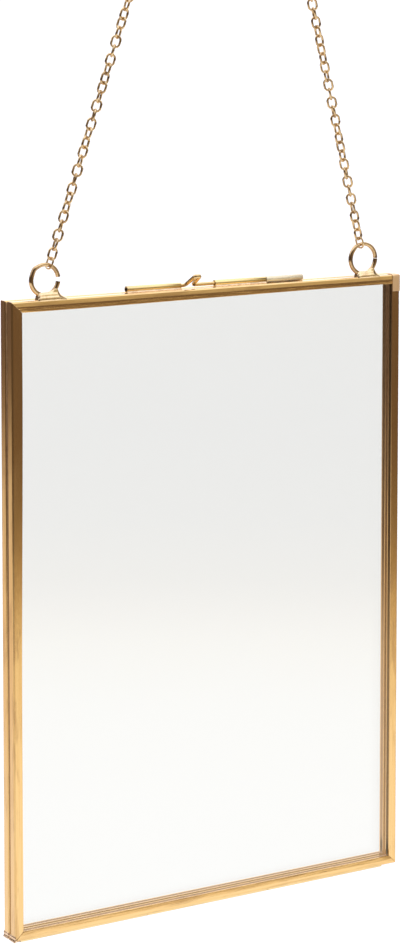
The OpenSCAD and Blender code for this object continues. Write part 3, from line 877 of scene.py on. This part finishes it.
# %% Eyelet feet, in mm from where the ring meets the bar
FEET = {
    "left_eyelet": [
        (0.8, 0.8, [(-2.3, -0.4), (-2.6, 1.2), (-2.1, 2.0), (-0.8, 2.05), (1.2, 2.05), (2.3, 2.5),
                    (3.0, 3.1), (3.9, 2.9), (4.3, 1.9), (4.9, 1.1), (6.2, 0.5), (7.4, 0.1), (7.4, -0.4)]),
        (1.15, 1.1, [(-2.7, -0.4), (-2.5, 1.0), (-1.6, 1.6), (3.6, 1.7), (4.5, 1.0), (6.3, 0.3),
                     (7.0, -0.4)]),
        (1.5, 1.25, [(-2.9, -0.5), (-2.5, 0.35), (-1.6, 0.75), (3.8, 0.8), (4.8, 0.4), (6.3, 0.0),
                     (6.6, -0.5)])],
    "right_eyelet": [
        (0.8, 0.8, [(-2.3, -0.4), (-2.6, 0.9), (-2.1, 1.6), (-0.8, 1.65), (1.2, 1.65), (2.3, 2.1),
                    (2.9, 2.6), (3.7, 2.4), (4.1, 1.6), (4.7, 0.9), (5.6, 0.4), (6.3, 0.1), (6.3, -0.4)]),
        (1.15, 1.1, [(-2.7, -0.4), (-2.5, 0.8), (-1.6, 1.3), (3.3, 1.4), (4.1, 0.8), (5.4, 0.2),
                     (6.0, -0.4)]),
        (1.5, 1.25, [(-2.7, -0.5), (-2.3, 0.3), (-1.4, 0.6), (3.4, 0.65), (4.3, 0.3), (5.4, 0.0),
                     (5.7, -0.5)])],
}
FOOT_GRAIN, FOOT_ROUNDS = 0.13 * mm, 30
FOOT_RIPPLE, FOOT_RIPPLE_LENGTH = 0.05 * mm, 1.6 * mm


def slab(bm, outline, front, back, at):
    """A flat slab with an outline in the ring's plane, from so far before it to so far behind."""
    face = bm.faces.new([bm.verts.new(at + Vector((x, -front, z)) * mm) for x, z in outline])
    grown = bmesh.ops.extrude_face_region(bm, geom=[face])["geom"]
    bmesh.ops.translate(bm, vec=(0, (front + back) * mm, 0), verts=points_of(grown))


leaf_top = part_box("front_top_channel")[1].z
for name, slabs in FEET.items():
    centre = ring_places[name][0]
    foot = Vector((centre.x, centre.y, leaf_top))
    bm = bmesh.new()
    for front, back, outline in slabs:
        slab(bm, outline, front, back, foot)
    skin = melt(bm, FOOT_GRAIN, FOOT_ROUNDS)
    ripple(skin, FOOT_RIPPLE_LENGTH, len(name), FOOT_RIPPLE)
    finish_piece(skin, f"{name}_foot", "front_leaf", foot_solder, [f"{name}_solder"])

# %% [markdown]
# The lower left corners of both leaves carry a lump of solder. Rows of balls run through the
# corner from front to back: one on the corner itself, one out along each bar, and one in the
# angle between them. They are melted together, and held in the CAD's box. Slabs would do for
# the feet's drawn outlines, but a lump is round from all sides.

# %% Corner lumps
LUMP = 2.4 * mm
LUMP_SHARES = (0.1, 0.3, 0.5, 0.7, 0.9)
LUMP_GRAIN, LUMP_ROUNDS = 0.1 * mm, 5
LUMP_RIPPLE, LUMP_RIPPLE_LENGTH, LUMP_SEED = 0.06 * mm, 0.8 * mm, 4
INTO_GAP = {"front": 0.5 * mm, "rear": 0}
# Each ball's place in shares of a lump, and its half widths in mm.
BALLS = [((0, 0, 0), (0.36, 0.36, 0.36)), ((0.45, 0, 0.02), (0.6, 0.4, 0.22)),
         ((0.02, 0, 0.45), (0.22, 0.4, 0.6)), ((0.16, 0, 0.16), (0.55, 0.4, 0.55))]


def ball(bm, place, size):
    """A ball, drawn out to a size along each axis, at a place."""
    bmesh.ops.create_icosphere(bm, subdivisions=3, radius=1,
                               matrix=Matrix.Translation(place) @ Matrix.Diagonal((*size, 1)))


for leaf, body in LEAVES.items():
    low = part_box(f"{leaf}_left_channel")[0]
    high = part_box(f"{leaf}_right_channel")[1]
    depth = high.y - low.y + INTO_GAP[leaf]
    bm = bmesh.new()
    for share in LUMP_SHARES:
        place = Vector((low.x, low.y + depth * share, low.z))
        for offset, size in BALLS:
            ball(bm, place + Vector(offset) * LUMP, Vector(size) * mm)
    skin = melt(bm, LUMP_GRAIN, LUMP_ROUNDS)
    ripple(skin, LUMP_RIPPLE_LENGTH, LUMP_SEED, LUMP_RIPPLE)
    keep_inside(skin.verts, *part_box(f"{leaf}_corner_solder"))
    finish_piece(skin, f"{leaf}_corner_lump", body, pale_solder, [f"{leaf}_corner_solder"])

# %% [markdown]
# A thin cap is folded round the front leaf's top right corner. A box is the quickest way to
# three faces that meet square: the others are deleted, and the rest gets folds and a wall.

# %% Corner cap
CAP_LENGTH, CAP_THICK, SHORT_OF_BACK = 5 * mm, 0.15 * mm, 0.3 * mm
bar_low, bar_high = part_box("front_right_channel")
bm = bmesh.new()
size = Vector((BAR, bar_high.y - bar_low.y - SHORT_OF_BACK, CAP_LENGTH))
middle = Vector((bar_high.x - size.x / 2, bar_low.y + size.y / 2, bar_high.z - size.z / 2))
bmesh.ops.create_cube(bm, size=1, matrix=Matrix.Translation(middle) @ Matrix.Diagonal((*size, 1)))
bmesh.ops.recalc_face_normals(bm, faces=bm.faces)
unwanted = [f for f in bm.faces
            if f.normal.x < -MOSTLY or f.normal.y > MOSTLY or f.normal.z < -MOSTLY]
bmesh.ops.delete(bm, geom=unwanted, context="FACES")
round_edges(bm, [e for e in bm.edges if len(e.link_faces) == 2], FOLD, 4)
bmesh.ops.solidify(bm, geom=bm.faces[:], thickness=-CAP_THICK)
finish_piece(bm, "folded_corner_cap", "front_leaf", cap_brass, ["front_corner_solder"])

# %% [markdown]
# A link is a ring of thin wire, pulled a little longer than it is wide. A stretched torus
# would be near it, but its wire would be stretched as well, so a small disc is spun round and
# the two halves of the ring are moved apart. It has few faces, because the chain has well
# over a hundred links. Each is turned from the one before by what a twisted chain takes up.
# The first link of a leg has thinner wire, so that it clears its eyelet as the frame swings.

# %% A link
LINK_WIRE, LINK_WIDTH = 0.6 * mm, 3.06 * mm
LINK_LOOK, FIRST_LOOK = 0.68 * mm, 0.52 * mm
PITCH = 2.71 * mm
LINK_PLAY, SWING_PLAY = 0.06 * mm, 0.2 * mm
LINK_RADIUS = (LINK_WIDTH - LINK_WIRE) / 2
LINK_HALF = (PITCH + LINK_WIRE + LINK_PLAY) / 2
LINK_STRAIGHT = LINK_HALF - LINK_RADIUS
LINK_SIDES, LINK_STEPS = 8, 12


def link(bm, thickness=LINK_LOOK):
    """One link round the origin, in the YZ plane, its length along Z. Gives its new points."""
    before = set(bm.verts)
    half_step = math.pi / LINK_STEPS
    start = Vector((0, math.cos(half_step), math.sin(half_step))) * LINK_RADIUS
    turn = Matrix.Rotation(half_step, 4, "X")
    disc = bmesh.ops.create_circle(bm, radius=thickness / 2, segments=LINK_SIDES,
                                   matrix=Matrix.Translation(start) @ turn)
    ring = list({e for v in disc["verts"] for e in v.link_edges})
    bmesh.ops.spin(bm, geom=disc["verts"] + ring, cent=(0, 0, 0), axis=(1, 0, 0), angle=math.tau,
                   steps=LINK_STEPS, use_merge=True)
    made = [v for v in bm.verts if v not in before]
    for vert in made:
        vert.co.z += math.copysign(LINK_STRAIGHT, vert.co.z)
    return made

# %% Two legs of chain
# Angles are in degrees. First is how far the first link is turned, and half turns is how
# far the last one is. Sway is how much a link may turn on its own.
LEGS = {
    "left_chain": {"eyelet": "left_eyelet", "lean": 19.268, "links": 69, "first": 13,
                   "half turns": 29},
    "right_chain": {"eyelet": "right_eyelet", "lean": -13.7012, "links": 67, "first": 20,
                    "half turns": 30},
}
SWAY, SWAY_STEP = 7, 0.9
for name, leg in LEGS.items():
    twist = (leg["half turns"] * 180 - leg["first"]) / (leg["links"] - 1)
    centre, radius = ring_places[leg["eyelet"]]
    first_rise = radius - (RING_WIRE + LINK_WIRE) / 2 - SWING_PLAY + LINK_HALF
    upright = Matrix.Translation(centre) @ Matrix.Rotation(math.radians(leg["lean"]), 4, "Y")
    bm = bmesh.new()
    for i in range(leg["links"]):
        sway = SWAY * noise.noise(Vector((i * SWAY_STEP, leg["lean"], 0))) if i else 0
        turned = Matrix.Rotation(math.radians(leg["first"] + i * twist + sway), 4, "Z")
        seat = upright @ Matrix.Translation((0, 0, first_rise + i * PITCH)) @ turned
        bmesh.ops.transform(bm, matrix=seat, verts=link(bm, LINK_LOOK if i else FIRST_LOOK))
    finish_piece(bm, f"{name}_links", "chain", chain_brass, [name], sharp_angle=60)

# %% Top link
bm = bmesh.new()
top_low, top_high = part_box("hanging_link")
facing = Matrix.Rotation(QUARTER, 4, "Y") @ Matrix.Rotation(QUARTER, 4, "Z")
seat = Matrix.Translation((top_low + top_high) / 2) @ facing
bmesh.ops.transform(bm, matrix=seat, verts=link(bm))
finish_piece(bm, "top_link", "hanger", chain_brass, ["hanging_link"], sharp_angle=60)
